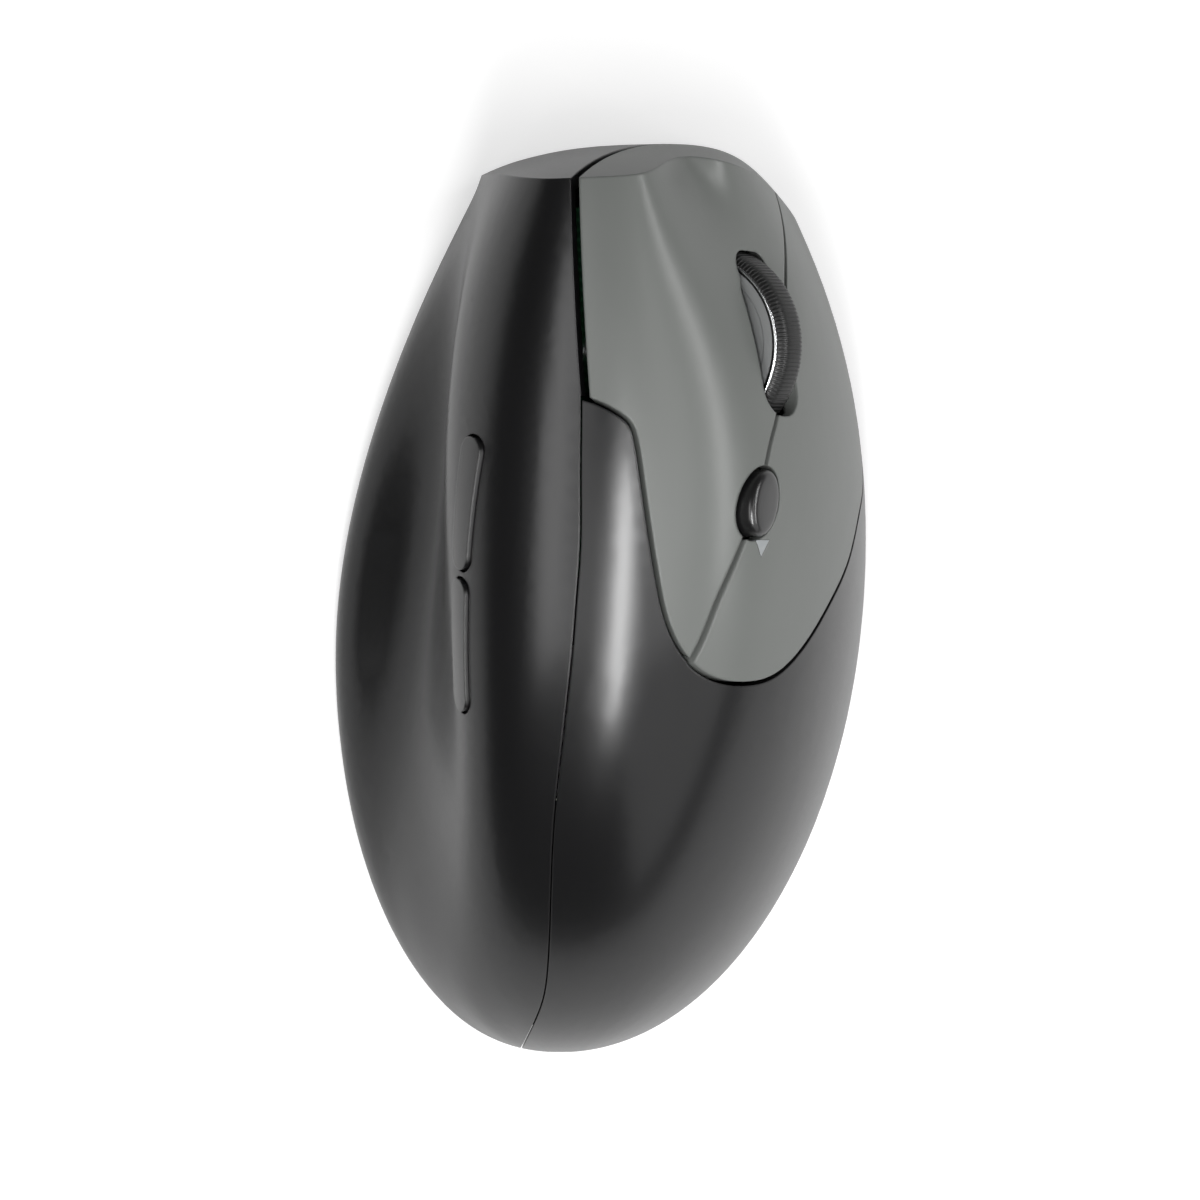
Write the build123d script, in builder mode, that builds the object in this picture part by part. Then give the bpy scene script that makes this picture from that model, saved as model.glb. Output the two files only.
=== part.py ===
from build123d import *
import math
import os

os.makedirs("parts", exist_ok=True)

# Driving dimensions of the body, in millimetres
body_length = 120.0
body_width = 70.4
body_height = 64.0
lip_height = 5.0
foot_drop = 11.0
wall = 2.0
glide_stand = 0.8
nose_setback = 6.0
front_lip = 14.0
overrun = 150.0

# Gaps and fits
button_gap = 0.6
split_gap = 0.8
thumb_gap = 1.15
seam_gap = 0.2
side_button_gap = 0.35
fit_gap = 0.2
pin_fit = 0.05
press_gap = 0.1

# Slopes of the finger side, the crown, the parting face and the thumb wall, in degrees
finger_slope = 57.0
crown_slope = 28.0
parting_slope = 18.5
thumb_lean = 17.0
thumb_run = 12.3

# Wheel, hinge pin and battery
wheel_diameter = 26.0
wheel_width = 5.6
axle_diameter = 3.0
pin_diameter = 2.0
cell_diameter = 14.5
cell_length = 50.5

# Base and boards
base_thickness = 2.2
board_thickness = 1.6
board_drop = 9.4
frame_thickness = 2.4

# Where the plan outline, crest and height of the body change, as shares of its size
tail_axis_share = 0.428
waist_left_share = 0.445
waist_right_share = 0.56
nose_left_share = 0.317
nose_right_share = 0.203
crest_lean_share = 0.121
crest_lean_at_share = 0.667
peak_share = 0.69
nose_drop_share = 0.075
crest_share = 1.006
under_shares = (0.985, 0.93)

# How sharply the ends of the body round off, as powers of the distance along it
tail_left_power, tail_left_root = 2.1, 2.15
tail_right_power, tail_right_root = 2.0, 2.0
tail_rise_power, tail_rise_root = 2.1, 2.0
tail_foot_power, tail_foot_root = 2.0, 6.0
nose_left_power = 1.75
nose_right_power = 2.2
nose_lean_power = 3.5
tail_wall_power = 3

# Places of the body's sections along it, from the tail
station_shares = (
    0.0006, 0.004, 0.012, 0.030, 0.065, 0.117, 0.195, 0.292,
    0.41, 0.54, 0.675, 0.79, 0.88, 0.95, 1.03,
)

# Section shapes at four places, nose first: reach and height shares, from the crest outwards
place_shares = (0.95, 0.675, 0.41, 0.10)
left_shares = (
    ((0.22, 0.995), (0.46, 0.965), (0.68, 0.875), (0.84, 0.73),
     (0.935, 0.54), (0.985, 0.36), (1.0, 0.18), (1.0, 0.0)),
    ((0.14, 0.995), (0.38, 0.965), (0.59, 0.865), (0.72, 0.66),
     (0.66, 0.44), (0.66, 0.24), (0.86, 0.12), (1.028, 0.03)),
    ((0.14, 0.995), (0.36, 0.96), (0.53, 0.855), (0.585, 0.66),
     (0.61, 0.44), (0.68, 0.26), (0.84, 0.13), (1.028, 0.03)),
    ((0.16, 0.99), (0.38, 0.94), (0.56, 0.825), (0.70, 0.66),
     (0.81, 0.47), (0.90, 0.30), (0.97, 0.14), (1.01, 0.02)),
)
right_shares = (
    ((0.20, 0.995), (0.31, 0.925), (0.44, 0.815), (0.61, 0.775), (0.80, 0.73), (0.95, 0.50), (1.015, 0.05)),
    ((0.18, 0.995), (0.40, 0.965), (0.60, 0.87), (0.77, 0.735), (0.91, 0.54), (0.99, 0.30), (1.012, 0.06)),
    ((0.18, 0.995), (0.40, 0.955), (0.60, 0.85), (0.77, 0.705), (0.91, 0.50), (0.985, 0.27), (1.012, 0.05)),
    ((0.18, 0.99), (0.38, 0.94), (0.58, 0.83), (0.75, 0.67), (0.89, 0.46), (0.975, 0.24), (1.01, 0.04)),
)

# Front of the body seen from above, as shares of width and length
front_shares = (
    (-0.345, 0.425), (-0.222, 0.470), (-0.128, 0.488), (-0.028, 0.4985), (0.077, 0.501),
    (0.179, 0.502), (0.256, 0.491), (0.317, 0.460), (0.376, 0.415), (0.455, 0.350),
)
front_level_shares = (-0.08, 0.2, 0.42, 0.60, 0.74, 0.86, 0.95, 1.06)

# Outlines on the sloping planes, as shares of width across and length along
split_shares = (
    (0.384, 0.275), (0.280, 0.207), (0.179, 0.150), (0.115, 0.104), (0.036, 0.017), (-0.027, -0.056),
    (-0.054, -0.085), (-0.072, -0.113), (-0.118, -0.189), (-0.134, -0.217), (-0.152, -0.255),
    (-0.163, -0.298), (-0.170, -0.320), (-0.178, -0.383),
)
right_edge_shares = (
    (-0.170, -0.320), (-0.159, -0.326), (-0.114, -0.339), (-0.051, -0.343), (0.017, -0.337), (0.101, -0.307),
    (0.203, -0.255), (0.310, -0.206), (0.405, -0.157), (0.511, -0.113), (0.520, -0.021), (0.500, 0.079),
    (0.456, 0.171), (0.392, 0.246), (0.349, 0.279),
)
right_back_shares = ((0.213, 0.300), (0.142, 0.208), (0.028, 0.083), (-0.099, -0.083), (-0.187, -0.275))
left_edge_shares = (
    (-0.325, -0.034), (-0.304, -0.039), (-0.271, -0.051), (-0.251, -0.063), (-0.241, -0.080), (-0.229, -0.123),
    (-0.213, -0.178), (-0.193, -0.232), (-0.165, -0.282), (-0.118, -0.320),
)
left_back_shares = (
    (-0.081, -0.298), (-0.058, -0.254), (-0.031, -0.217), (-0.011, -0.189), (0.035, -0.113), (0.072, -0.056),
    (0.152, 0.104), (0.185, 0.150), (0.241, 0.208), (0.355, 0.333), (-0.426, 0.333), (-0.426, -0.034),
)
parting_shares = ((-0.084, -0.500), (-0.229, 0.500))

# Line where the thumb shell meets the palm shell, seen from above
seam_shares = (
    (-0.034, 0.260), (-0.034, 0.196), (-0.035, 0.131), (-0.036, 0.054), (-0.043, -0.001), (-0.050, -0.055),
    (-0.060, -0.110), (-0.072, -0.172), (-0.081, -0.219), (-0.090, -0.307), (-0.097, -0.403), (-0.106, -0.438),
    (-0.121, -0.462), (-0.147, -0.494), (-0.175, -0.530),
)
seam_front_share = 0.220
outline_place_shares = (0.209, 0.254, 0.719)
wheel_place_share = 0.276
side_place_shares = (-0.2565, 0.0275, 0.803)

base_top = glide_stand + base_thickness

# Frames: the finger frame has its origin at the wheel's centre, x down the slope, y to the nose, z out
outline_centre = Vector(
    outline_place_shares[0] * body_width,
    outline_place_shares[1] * body_length,
    outline_place_shares[2] * body_height,
)
wheel_centre = Vector(outline_centre.X, wheel_place_share * body_length, outline_centre.Z)


def leaning(origin, degrees):
    """Plane whose normal leans from straight up towards the finger side."""
    lean = math.radians(degrees)
    return Plane(origin=origin, x_dir=(math.cos(lean), 0, -math.sin(lean)), z_dir=(math.sin(lean), 0, math.cos(lean)))


finger = leaning(wheel_centre, finger_slope)
slope = leaning(outline_centre, finger_slope)
crown = leaning(outline_centre, crown_slope)
parting = leaning(outline_centre, -parting_slope)
board_level = -board_drop

wheel_axis = Axis(wheel_centre, finger.x_dir)
wheel_plane = Plane(origin=wheel_centre, x_dir=finger.x_dir, z_dir=(0, -1, 0))

side_centre = Vector(
    side_place_shares[0] * body_width, side_place_shares[1] * body_length, side_place_shares[2] * body_height
)
side_out = Vector(-math.cos(math.radians(thumb_lean)), 0, math.sin(math.radians(thumb_lean)))
side_up = Vector(math.sin(math.radians(thumb_lean)), 0, math.cos(math.radians(thumb_lean)))
side = Plane(
    origin=side_centre,
    x_dir=Vector(0, 1, 0) * math.cos(math.radians(thumb_run)) + side_up * math.sin(math.radians(thumb_run)),
    z_dir=side_out,
)


def across(place):
    """Plane square to the finger slope's run, with x to the nose and y outwards."""
    origin = finger.from_local_coords((place, 0, 0))
    return Plane(origin=origin, x_dir=(0, 1, 0), z_dir=finger.x_dir)


def sized(shares):
    """Outline points in millimetres from shares of width and length."""
    return [(x * body_width, y * body_length) for x, y in shares]


# Body form

def arch(share, start, power, root):
    """Rounded end: nothing at the tail, one at start and beyond."""
    rest = max(0.0, (start - share) / start)
    return (1 - rest**power) ** (1 / root)


def blended(tables, share):
    """Section shape at one place along the body, between the four given shapes."""
    weights = []
    for here in place_shares:
        weight = 1.0
        for other in place_shares:
            if other != here:
                weight *= (share - other) / (here - other)
        weights.append(weight)
    count = len(tables[0])
    return [[sum(w * table[k][axis] for w, table in zip(weights, tables)) for axis in (0, 1)] for k in range(count)]


def section_points(share):
    """Control points of one section, from the lower left over the crest to the lower right."""
    left_front = max(0.0, (share - waist_left_share) / (1 - waist_left_share))
    right_front = max(0.0, (share - waist_right_share) / (1 - waist_right_share))
    nose_front = max(0.0, (share - peak_share) / (1 - peak_share))
    left_arch = arch(share, waist_left_share, tail_left_power, tail_left_root)
    right_arch = arch(share, waist_right_share, tail_right_power, tail_right_root)
    left = -tail_axis_share * left_arch + nose_left_share * left_front**nose_left_power
    right = (1 - tail_axis_share) * right_arch - nose_right_share * right_front**nose_right_power
    crest = crest_lean_share * (1 - (1 - share / crest_lean_at_share) ** 2)
    rise_arch = arch(share, peak_share, tail_rise_power, tail_rise_root)
    rise = (body_height - lip_height) * rise_arch * (1 - nose_drop_share * nose_front**2)
    shift = tail_axis_share - 0.5
    left_x, right_x, crest_x = (body_width * (shift + value) for value in (left, right, crest))
    drop = foot_drop * arch(share, waist_left_share, tail_foot_power, tail_foot_root)
    left_shape = [(crest_x + (left_x - crest_x) * u, lip_height + rise * v) for u, v in blended(left_shares, share)]
    right_shape = [(crest_x + (right_x - crest_x) * u, lip_height + rise * v) for u, v in blended(right_shares, share)]
    under = [(reach, lip_height - drop * k / len(under_shares)) for k, reach in enumerate(under_shares, start=1)]
    left_under = [(crest_x + (left_x - crest_x) * reach, z) for reach, z in reversed(under)]
    right_under = [(crest_x + (right_x - crest_x) * reach, z) for reach, z in under]
    crest_point = (crest_x, lip_height + crest_share * rise)
    return left_under + left_shape[::-1] + [crest_point] + right_shape + right_under


def drawn_in(points, depth):
    """Points moved to the right of their run, square to the line through their neighbours."""
    moved = []
    for k, (x, z) in enumerate(points):
        before = points[max(k - 1, 0)]
        after = points[min(k + 1, len(points) - 1)]
        run = Vector(after[0] - before[0], after[1] - before[1]).normalized()
        moved.append((x + depth * run.Y, z - depth * run.X))
    return moved


def even_knots(count):
    """Clamped even knots of a cubic curve with this many control points."""
    inner = count - 3
    return [0.0] * 3 + [k / inner for k in range(inner + 1)] + [1.0] * 3


def nose_block(back):
    """Everything behind the front face, which leans back towards the crown."""
    with BuildPart() as block:
        for level_share in front_level_shares:
            level = level_share * body_height
            setback = nose_setback * max(0.0, level_share) ** nose_lean_power + back
            front = [(x, y - setback) for x, y in sized(front_shares)]
            with BuildSketch(Plane.XY.offset(level)):
                with BuildLine():
                    BSpline(front, even_knots(len(front)), 3)
                    Polyline(front[-1], (overrun, front[-1][1]), (overrun, -overrun), (-overrun, -overrun),
                             (-overrun, front[0][1]), front[0])
                make_face()
        loft()
    return block.part


def body_block(depth):
    """The whole body, drawn in by depth; hollow blocks start past the tail's wall."""
    stations = [share for share in station_shares if depth == 0 or share > station_shares[2]]
    with BuildPart() as block:
        sections = []
        for share in stations:
            behind = share - depth / body_length * (1 - share) ** tail_wall_power
            points = drawn_in(section_points(behind), depth)
            with BuildSketch(Plane.XZ.offset(body_length * (0.5 - share)), mode=Mode.PRIVATE) as section:
                with BuildLine():
                    BSpline(points, even_knots(len(points)), 3)
                    Line(points[-1], points[0])
                make_face()
            sections.append(section.sketch)
        loft(sections)
        add(nose_block(depth), mode=Mode.INTERSECT)
    return block.part


def above(level, height=overrun):
    """Slab of space above a level."""
    with BuildPart() as slab:
        with BuildSketch(Plane.XY.offset(level)):
            Rectangle(overrun, overrun)
        extrude(amount=height)
    return slab.part


with BuildPart() as outer_block:
    add(body_block(0))
    add(above(glide_stand), mode=Mode.INTERSECT)
outer_form = outer_block.part
middle_form = body_block(wall / 2)
core_form = body_block(wall)

with BuildPart() as skin_block:
    add(outer_form)
    add(core_form, mode=Mode.SUBTRACT)
skin = skin_block.part

# Regions that divide the skin between the shells and the buttons


def region(plane, edge, back, grow=0.0):
    """Space over an outline: a smooth edge, moved out by grow, closed by straight lines."""
    points = drawn_in(sized(edge), grow)
    with BuildPart() as space:
        with BuildSketch(plane):
            with BuildLine():
                Spline(points)
                Polyline(points[-1], *sized(back), points[0])
            make_face()
        extrude(amount=overrun, both=True)
    return space.part


def half_space(plane, line, grow, to_right):
    """Space on one side of a line in a plane, moved off it by grow."""
    reach = overrun if to_right else -overrun
    step = grow if to_right else -grow
    points = [(x + step, y) for x, y in sized(line)]
    with BuildPart() as space:
        with BuildSketch(plane):
            with BuildLine():
                Spline(points)
                Polyline(points[-1], (points[-1][0] + reach, points[-1][1]), (points[0][0] + reach, points[0][1]),
                         points[0])
            make_face()
        extrude(amount=overrun, both=True)
    return space.part


def thumb_space(grow):
    """Left of the seam behind the buttons, and left of the parting face beside them."""
    front_y = seam_front_share * body_length
    with BuildPart() as rear:
        add(half_space(Plane.XY, seam_shares, grow, False))
        with BuildSketch(Plane.XZ.offset(-front_y)):
            Rectangle(2 * overrun, 2 * overrun)
        extrude(amount=overrun, mode=Mode.INTERSECT)
    with BuildPart() as fore:
        add(half_space(parting, parting_shares, grow, False))
        with BuildSketch(Plane.XZ.offset(-front_y)):
            Rectangle(2 * overrun, 2 * overrun)
        extrude(amount=-overrun, mode=Mode.INTERSECT)
        add(rear.part)
    return fore.part


def left_space(grow):
    """Space over the left button, down to the level where its front lip ends."""
    with BuildPart() as space:
        add(region(crown, left_edge_shares, left_back_shares, grow))
        add(above(front_lip - grow), mode=Mode.INTERSECT)
    return space.part


left_region = left_space(0.0)
left_hole = left_space(button_gap)
right_region = region(slope, right_edge_shares, right_back_shares)
right_hole = region(slope, right_edge_shares, right_back_shares, button_gap)


# Simple shapes that many pieces are made of


def slab(plane, low, high, place, size, corner=0.0):
    """Flat block over a plane, between two levels above it."""
    with BuildPart() as block:
        with BuildSketch(plane.offset(low)):
            with Locations(place):
                if corner:
                    RectangleRounded(*size, corner)
                else:
                    Rectangle(*size)
        extrude(amount=high - low)
    return block.part


def rods(plane, low, high, places, diameter):
    """Round posts over a plane, between two levels above it."""
    with BuildPart() as block:
        with BuildSketch(plane.offset(low)):
            with Locations(*places):
                Circle(diameter / 2)
        extrude(amount=high - low)
    return block.part


def finish(block, name):
    """Labels a piece and writes it."""
    block.part.label = name
    export_step(block.part, f"parts/{name}.step")


# Shells and their screw posts
boss_diameter = 6.0
boss_height = 15.0
pilot_depth = 9.0
pilot_diameter = 2.5
case_boss_shares = ((-0.345, -0.10), (-0.22, 0.372), (0.396, -0.115), (0.03, -0.436))
thumb_board_posts = ((-22.6, 2.4), (22.6, 2.4))
side_post_diameter = 4.6
side_board_drop = 9.5


def boss_post(places):
    """Screw posts from the base plate up into the wall, with their pilot holes."""
    with BuildPart() as posts:
        add(rods(Plane.XY, base_top, base_top + boss_height, sized(places), boss_diameter))
        add(middle_form, mode=Mode.INTERSECT)
        add(rods(Plane.XY, base_top, base_top + pilot_depth, sized(places), pilot_diameter), mode=Mode.SUBTRACT)
    return posts.part


side_button_length = 17.6
side_button_height = 4.6
side_button_pitch = 18.9
side_button_rise = 0.5
side_button_round = 2.1


def side_outline(grow=0.0):
    """Two slim rounded outlines on the thumb wall."""
    with BuildSketch(side) as outline:
        with GridLocations(side_button_pitch, 0, 2, 1):
            RectangleRounded(side_button_length + 2 * grow, side_button_height + 2 * grow,
                             side_button_round + grow)
    return outline.sketch


with BuildPart() as side_holes:
    extrude(side_outline(side_button_gap), amount=wall * 3, both=True)

with BuildPart() as side_posts:
    add(rods(side, -side_board_drop, wall, thumb_board_posts, side_post_diameter))
    add(middle_form, mode=Mode.INTERSECT)
    add(rods(side, -side_board_drop, -wall * 2, thumb_board_posts, pilot_diameter / 2), mode=Mode.SUBTRACT)

with BuildPart() as thumb_shell:
    add(skin)
    add(thumb_space(0), mode=Mode.INTERSECT)
    add(side_holes.part, mode=Mode.SUBTRACT)
    add(boss_post(case_boss_shares[:2]))
    add(side_posts.part)
finish(thumb_shell, "thumb_shell")

with BuildPart() as palm_shell:
    add(skin)
    add(boss_post(case_boss_shares[2:]))
    add(thumb_space(-seam_gap), mode=Mode.SUBTRACT)
    add(right_hole, mode=Mode.SUBTRACT)
    add(left_hole, mode=Mode.SUBTRACT)
finish(palm_shell, "palm_shell")

# Main buttons: slot for the wheel, hole for the oval button, posts to the switches, lugs on the hinge pin
slot_length = 19.4
slot_width = 8.0
slot_forward = 0.4
wheel_clearance = 0.5
relief_round = 2.2
slot_round = 3.7
dpi_place = (-6.0, -20.6)
dpi_length = 9.0
dpi_width = 6.2
dpi_turn = -21.9
window_place = (-5.1, -26.1)
window_size = 2.8
window_stem = 2.4
hinge_back = -33.1
hinge_level = -1.4
lug_diameter = 4.0
left_lugs = ((-15.0, 2.8),)
right_lugs = ((-7.8, 3.0), (4.2, 3.0))
frame_lugs = ((-11.8, 2.0), (0.0, 2.0), (7.6, 1.8))
switch_forward = 12.5
left_switch_across = -11.9
right_switch_across = 14.0
switch_case_height = 6.5
switch_plunger_rise = 0.9
switch_top = board_level + switch_case_height + switch_plunger_rise
post_size = (3.4, 2.8)

with BuildPart() as wheel_slot:
    with BuildSketch(finger):
        with Locations((0, slot_forward)):
            RectangleRounded(slot_width, slot_length, slot_round)
    extrude(amount=wheel_diameter)
    with BuildSketch(wheel_plane):
        RectangleRounded(wheel_width + 2 * wheel_clearance, wheel_diameter + 2 * wheel_clearance, relief_round)
        with Locations((0, -wheel_diameter)):
            Rectangle(2 * wheel_diameter, 2 * wheel_diameter, mode=Mode.SUBTRACT)
    revolve(axis=wheel_axis)


def oval(grow, low, high):
    """Space of the oval button's outline between two levels of the finger frame."""
    with BuildPart() as space:
        with BuildSketch(finger.offset(low)):
            with Locations(dpi_place):
                Ellipse(dpi_width / 2 + grow, dpi_length / 2 + grow, rotation=dpi_turn)
        extrude(amount=high - low)
    return space.part


def window_space(grow, low, high):
    """Space of the small triangle between two levels of the finger frame."""
    with BuildPart() as space:
        with BuildSketch(finger.offset(low)):
            with Locations(window_place):
                RegularPolygon(window_size / 2 + grow, 3, rotation=-90)
        extrude(amount=high - low)
    return space.part


def lug_shape(lugs, low, high):
    """Plates square to the hinge pin, rounded under it and reaching up to high."""
    with BuildPart() as plates:
        for place, width in lugs:
            with BuildSketch(across(place)):
                with Locations((hinge_back, hinge_level)):
                    Circle(lug_diameter / 2)
                with Locations((hinge_back, (low + high) / 2)):
                    Rectangle(lug_diameter, high - low)
            extrude(amount=width)
        for place, width in lugs:
            with BuildSketch(across(place)):
                with Locations((hinge_back, hinge_level)):
                    Circle(pin_diameter / 2 + pin_fit)
            extrude(amount=width, mode=Mode.SUBTRACT)
    return plates.part


def button_fittings(switch_across, lugs):
    """Post over the switch and lugs on the pin, both ending inside the button's skin."""
    with BuildPart() as fittings:
        add(slab(finger, switch_top + press_gap, wheel_diameter, (switch_across, switch_forward), post_size))
        add(lug_shape(lugs, hinge_level, wheel_diameter))
        add(middle_form, mode=Mode.INTERSECT)
    return fittings.part


with BuildPart() as left_button:
    add(skin)
    add(left_region, mode=Mode.INTERSECT)
    add(half_space(parting, parting_shares, thumb_gap, True), mode=Mode.INTERSECT)
    add(half_space(slope, split_shares, split_gap / 2, False), mode=Mode.INTERSECT)
    add(wheel_slot.part, mode=Mode.SUBTRACT)
    add(oval(button_gap, 0, wheel_diameter), mode=Mode.SUBTRACT)
    add(button_fittings(left_switch_across, left_lugs))
finish(left_button, "left_button")

with BuildPart() as right_button:
    add(skin)
    add(right_region, mode=Mode.INTERSECT)
    add(half_space(parting, parting_shares, thumb_gap, True), mode=Mode.INTERSECT)
    add(half_space(slope, split_shares, split_gap / 2, True), mode=Mode.INTERSECT)
    add(wheel_slot.part, mode=Mode.SUBTRACT)
    add(oval(button_gap, 0, wheel_diameter), mode=Mode.SUBTRACT)
    add(window_space(pin_fit, 0, wheel_diameter), mode=Mode.SUBTRACT)
    add(button_fittings(right_switch_across, right_lugs))
finish(right_button, "right_button")

with BuildPart() as hinge_pin:
    pin_start = left_lugs[0][0]
    pin_end = frame_lugs[-1][0] + frame_lugs[-1][1]
    with BuildSketch(across(pin_start)):
        with Locations((hinge_back, hinge_level)):
            Circle(pin_diameter / 2)
    extrude(amount=pin_end - pin_start)
finish(hinge_pin, "hinge_pin")

# Status window: a triangular lens with a light guide down to the lamp
lamp_height = 4.0
lamp_gap = 0.4

with BuildPart() as status_window:
    add(window_space(0.0, wheel_diameter / 4, wheel_diameter))
    add(outer_form, mode=Mode.INTERSECT)
    add(rods(finger, board_level + lamp_height + lamp_gap, wheel_diameter / 4, (window_place,), window_stem))
finish(status_window, "status_window")

# Oval button: its top follows the body, a flange keeps it in, a stem reaches its switch
dpi_rise = 0.7
dpi_flange = 0.8
dpi_flange_level = 6.3
dpi_stem = 3.0
dpi_tact_place = (-5.9, -20.8)
tact_size = 4.5
tact_height = 3.5
tact_rise = 0.8
tact_top = board_level + tact_height + tact_rise

with BuildPart() as dpi_flange_block:
    with BuildSketch(finger.offset(dpi_flange_level)):
        with Locations(dpi_place):
            Ellipse(dpi_width / 2 + button_gap + dpi_flange, dpi_length / 2 - dpi_flange, rotation=dpi_turn)
    extrude(amount=wheel_diameter)
    add(core_form.moved(Location(finger.z_dir * -2 * press_gap)), mode=Mode.INTERSECT)

with BuildPart() as dpi_button:
    add(oval(0.0, dpi_flange_level, wheel_diameter))
    add(outer_form.moved(Location(finger.z_dir * dpi_rise)), mode=Mode.INTERSECT)
    add(dpi_flange_block.part)
    add(rods(finger, tact_top + press_gap, dpi_flange_level, (dpi_tact_place,), dpi_stem))
finish(dpi_button, "dpi_button")

# Side buttons: the wall's own surface, a little proud, with a flange inside and a post to the switch
side_flange = 0.7
side_flange_thickness = 1.2
side_tact_top = -side_board_drop + tact_height + tact_rise
side_post = 2.6


def side_button(place):
    """One slim button in the thumb wall, at a place along the wall."""
    inward = side_out * -(2 * press_gap)
    with BuildPart() as cap:
        with BuildSketch(side.offset(-wall * 3)):
            with Locations((place, 0)):
                RectangleRounded(side_button_length, side_button_height, side_button_round)
        extrude(amount=wall * 6)
        add(outer_form.moved(Location(side_out * side_button_rise)), mode=Mode.INTERSECT)
        add(core_form.moved(Location(inward - side_out * side_flange_thickness)), mode=Mode.SUBTRACT)
    with BuildPart() as flange:
        with BuildSketch(side.offset(-wall * 3)):
            with Locations((place, 0)):
                Rectangle(side_button_length - 2 * side_button_height, side_button_height + 2 * side_flange
                          + 2 * side_button_gap)
        extrude(amount=wall * 6)
        add(core_form.moved(Location(inward)), mode=Mode.INTERSECT)
        add(core_form.moved(Location(inward - side_out * side_flange_thickness)), mode=Mode.SUBTRACT)
    with BuildPart() as button:
        add(cap.part)
        add(flange.part)
        add(rods(side, side_tact_top + press_gap, -wall, ((place, 0),), side_post))
    return button


forward_button = side_button(side_button_pitch / 2)
finish(forward_button, "forward_button")
back_button = side_button(-side_button_pitch / 2)
finish(back_button, "back_button")

# Wheel: hub with its axle and slotted disc, ribbed tyre, two bright rings
tyre_depth = 2.4
tyre_step = 1.4
tyre_round = 1.3
rib_count = 108
rib_depth = 0.2
rib_width = 0.3
core_width = 4.2
ring_thickness = 0.6
ring_depth = 1.8
dish_depth = 0.7
axle_length = 17.2
disc_place = 4.4
disc_thickness = 0.8
disc_diameter = 12.0
disc_slots = 16
disc_slot_width = 1.1
disc_slot_length = 1.8
neck_diameter = 6.0
wheel_radius = wheel_diameter / 2
hub_diameter = wheel_diameter - 2 * tyre_depth
step_radius = wheel_radius - tyre_step

with BuildPart() as wheel_tyre:
    with BuildSketch(wheel_plane):
        with Locations((0, wheel_radius - tyre_step / 2)):
            Rectangle(wheel_width, tyre_step)
        outer = [vertex for vertex in vertices() if vertex.Y > wheel_radius - tyre_step / 2]
        fillet(outer, tyre_round)
        with Locations((0, (hub_diameter / 2 + step_radius) / 2)):
            Rectangle(core_width, step_radius - hub_diameter / 2)
    revolve(axis=wheel_axis)
    with BuildSketch(across(-wheel_width / 2 + tyre_round)):
        with PolarLocations(wheel_radius, rib_count):
            Rectangle(2 * rib_depth, rib_width)
    extrude(amount=wheel_width - 2 * tyre_round, mode=Mode.SUBTRACT)
finish(wheel_tyre, "wheel_tyre")

with BuildPart() as wheel_rings:
    for place in (-core_width / 2 - ring_thickness, core_width / 2):
        with BuildSketch(across(place)):
            Circle(step_radius)
            Circle(step_radius - ring_depth, mode=Mode.SUBTRACT)
        extrude(amount=ring_thickness)
finish(wheel_rings, "wheel_rings")

with BuildPart() as wheel_hub:
    with BuildSketch(across(-core_width / 2)):
        Circle(hub_diameter / 2)
    extrude(amount=core_width)
    for place in (-core_width / 2, core_width / 2 - dish_depth):
        with BuildSketch(across(place)):
            Circle(step_radius - ring_depth - dish_depth)
            Circle(neck_diameter / 2, mode=Mode.SUBTRACT)
        extrude(amount=dish_depth, mode=Mode.SUBTRACT)
    with BuildSketch(across(core_width / 2)):
        Circle(neck_diameter / 2)
    extrude(amount=disc_place - core_width / 2)
    with BuildSketch(across(disc_place)):
        Circle(disc_diameter / 2)
        with PolarLocations((disc_diameter - disc_slot_length - disc_thickness) / 2, disc_slots):
            Rectangle(disc_slot_length, disc_slot_width, mode=Mode.SUBTRACT)
    extrude(amount=disc_thickness)
    with BuildSketch(across(-axle_length / 2)):
        Circle(axle_diameter / 2)
    extrude(amount=axle_length)
finish(wheel_hub, "wheel_hub")

# Battery bay's size and place
bay_wall = 1.4
bay_height = 6.0
bay_end_height = 11.0
contact_thickness = 0.3
contact_bump = 0.25
contact_size = (9.0, 10.0)
cell_share = (-0.1165, -0.006)
cell_lift = 0.35
cell_x = cell_share[0] * body_width
cell_y = cell_share[1] * body_length
cell_z = base_top + cell_lift + cell_diameter / 2
bay_width = cell_diameter + 2 * cell_lift
bay_length = cell_length + 2 * (contact_thickness + contact_bump)

# Yoke: two arms on trunnions carry the wheel, and a bar over its switch joins them
arm_place = 6.6
arm_thickness = 1.4
yoke_back = -13.5
yoke_level = -4.4
bar_forward = 15.0
bar_width = 2.6
bar_low = board_level + tact_height + tact_rise + press_gap
bar_height = 3.5
trunnion_length = 1.9
trunnion_diameter = 2.0
arm_round = 1.8
bearing_radius = 2.6
arm_height = 1.6
yoke_lug_gap = 0.25
yoke_lug_width = 2.0
yoke_lug_length = 4.0


def yoke_arm(place):
    """One arm, from its trunnion past the axle to the bar."""
    with BuildPart() as arm:
        with BuildSketch(across(place)):
            with BuildLine():
                Polyline(
                    (yoke_back, yoke_level - arm_round), (bar_forward + bar_width / 2, bar_low),
                    (bar_forward + bar_width / 2, bar_low + bar_height), (bearing_radius, arm_height),
                    (-bearing_radius, arm_height), (yoke_back, yoke_level + arm_round), close=True,
                )
            make_face()
            with Locations((yoke_back, yoke_level)):
                Circle(arm_round)
            Circle(bearing_radius)
            Circle(axle_diameter / 2 + pin_fit, mode=Mode.SUBTRACT)
        extrude(amount=arm_thickness)
    return arm.part


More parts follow.
